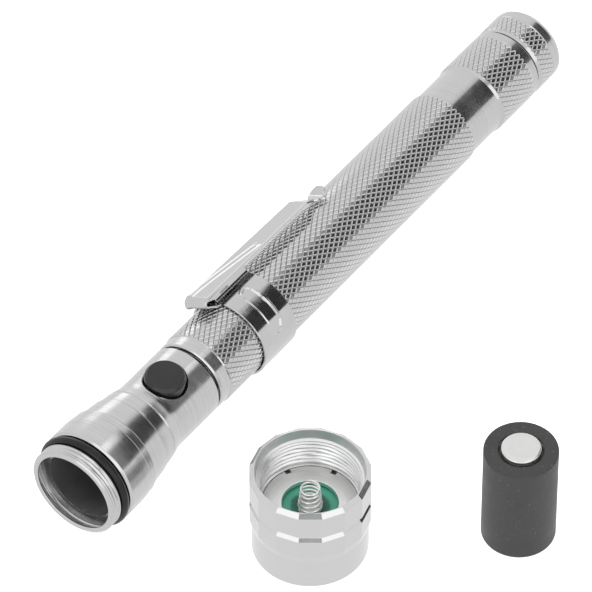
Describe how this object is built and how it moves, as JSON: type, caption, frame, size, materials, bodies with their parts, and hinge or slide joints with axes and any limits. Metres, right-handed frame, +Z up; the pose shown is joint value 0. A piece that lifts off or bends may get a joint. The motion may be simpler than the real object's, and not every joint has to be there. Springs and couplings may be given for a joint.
{
  "type": "magnetic pickup tool",
  "caption": "Telescopic magnetic pick-up tool with a lighted screw-on head, knurled barrel and pocket clip, shown open with its head cap and battery pack beside it.",
  "frame": {"origin": "on the bench that everything stands on, at the middle of the floor that the whole layout covers", "axes": "+Z up; the tool's axis runs along Y with the open head towards -Y and slopes down 0.9 degrees to the tail at +Y; the head cap and the battery pack stand towards +X"},
  "size_m": [0.0846, 0.1502, 0.0233],
  "materials": {
    "body_aluminium": "knurled and turned, bright satin",
    "cap_aluminium": "turned and polished",
    "clip_steel": "pressed sheet, polished",
    "tube_steel": "drawn tube, satin",
    "neck_steel": "wound wire, satin",
    "brass": "turned",
    "magnet_nickel": "nickel plate",
    "cell_nickel": "nickel plate, satin",
    "spring_nickel": "plated wire",
    "black_rubber": "smooth, slightly glossy",
    "black_plastic": "moulded, matt",
    "sleeve_black": "moulded, matt, faintly grained",
    "holder_white": "moulded, bright",
    "board_green": "solder mask over copper",
    "led_resin": "clear resin dome"
  },
  "bodies": {
    "barrel": {"barrel_tube": "body_aluminium", "front_bush": "brass", "rear_plug": "body_aluminium", "clip_band": "clip_steel"},
    "clip": {"clip_arm": "clip_steel"},
    "tail_screw": {"tail_magnet": "magnet_nickel"},
    "tail": {"tail_cap": "body_aluminium"},
    "stage_1": {"tube_1": "tube_steel", "tube_1_bush": "brass"},
    "stage_2": {"tube_2": "tube_steel", "tube_2_bush": "brass"},
    "stage_3": {"tube_3": "tube_steel", "tube_3_bush": "brass"},
    "stage_4": {"tube_4": "tube_steel", "tube_4_bush": "brass"},
    "neck": {"neck_coil": "neck_steel", "neck_plug": "brass", "neck_stud": "neck_steel", "neck_retainer": "neck_steel"},
    "head": {"head_housing": "body_aluminium", "o_ring": "black_rubber", "battery_liner": "black_plastic", "switch_body": "black_plastic", "rear_contact": "brass"},
    "switch": {"button": "black_rubber"},
    "cap": {"cap_shell": "cap_aluminium", "cap_plate": "cap_aluminium", "led_board": "board_green", "contact_spring": "spring_nickel", "led_holder": "holder_white", "head_magnet": "magnet_nickel", "led_1": "led_resin", "led_2": "led_resin", "led_3": "led_resin"},
    "battery_pack": {"battery_sleeve": "sleeve_black", "cell_1": "cell_nickel", "cell_2": "cell_nickel", "cell_3": "cell_nickel", "cell_4": "cell_nickel"}
  },
  "joints": [
    {"name": "tube_1_slide", "type": "slide", "parent": "barrel", "child": "stage_1", "axis": [0, -0.9999, 0.0157], "range_m": [0, 0.076]},
    {"name": "tube_2_slide", "type": "slide", "parent": "stage_1", "child": "stage_2", "axis": [0, -0.9999, 0.0157], "range_m": [0, 0.079]},
    {"name": "tube_3_slide", "type": "slide", "parent": "stage_2", "child": "stage_3", "axis": [0, -0.9999, 0.0157], "range_m": [0, 0.079]},
    {"name": "tube_4_slide", "type": "slide", "parent": "stage_3", "child": "stage_4", "axis": [0, -0.9999, 0.0157], "range_m": [0, 0.079]},
    {"name": "neck_slide", "type": "slide", "parent": "stage_4", "child": "neck", "axis": [0, -0.9999, 0.0157], "range_m": [0, 0.079]},
    {"name": "head_spin", "type": "hinge", "parent": "neck", "child": "head", "pos_m": [-0.03213, -0.03943, 0.00978], "axis": [0, 0.9999, -0.0157], "continuous": true},
    {"name": "button_press", "type": "slide", "parent": "head", "child": "switch", "axis": [-0.1045, -0.0156, -0.9944], "range_m": [0, 0.001], "stiffness_N_per_m": 600},
    {"name": "clip_flex", "type": "hinge", "parent": "barrel", "child": "clip", "pos_m": [-0.03728, -0.02739, 0.01851], "axis": [0.866, 0.0078, 0.4999], "range_deg": [0, 6], "stiffness_Nm_per_rad": 1.7},
    {"name": "tail_slide", "type": "slide", "parent": "barrel", "child": "tail_screw", "axis": [0, 0.9999, -0.0157], "range_m": [0, 0.0031]},
    {"name": "tail_turn", "type": "hinge", "parent": "tail_screw", "child": "tail", "pos_m": [-0.03213, 0.06906, 0.00807], "axis": [0, 0.9999, -0.0157], "range_deg": [0, 1080]},
    {"name": "cap_lift", "type": "slide", "parent": "barrel", "child": "cap", "axis": [0, 0, 1], "range_m": [0, 0.03]},
    {"name": "pack_lift", "type": "slide", "parent": "barrel", "child": "battery_pack", "axis": [0, 0, 1], "range_m": [0, 0.03]}
  ],
  "couplings": [
    {"joint": "tail_slide", "follows": "tail_turn", "m_per_rad": 0.00015915}
  ]
}
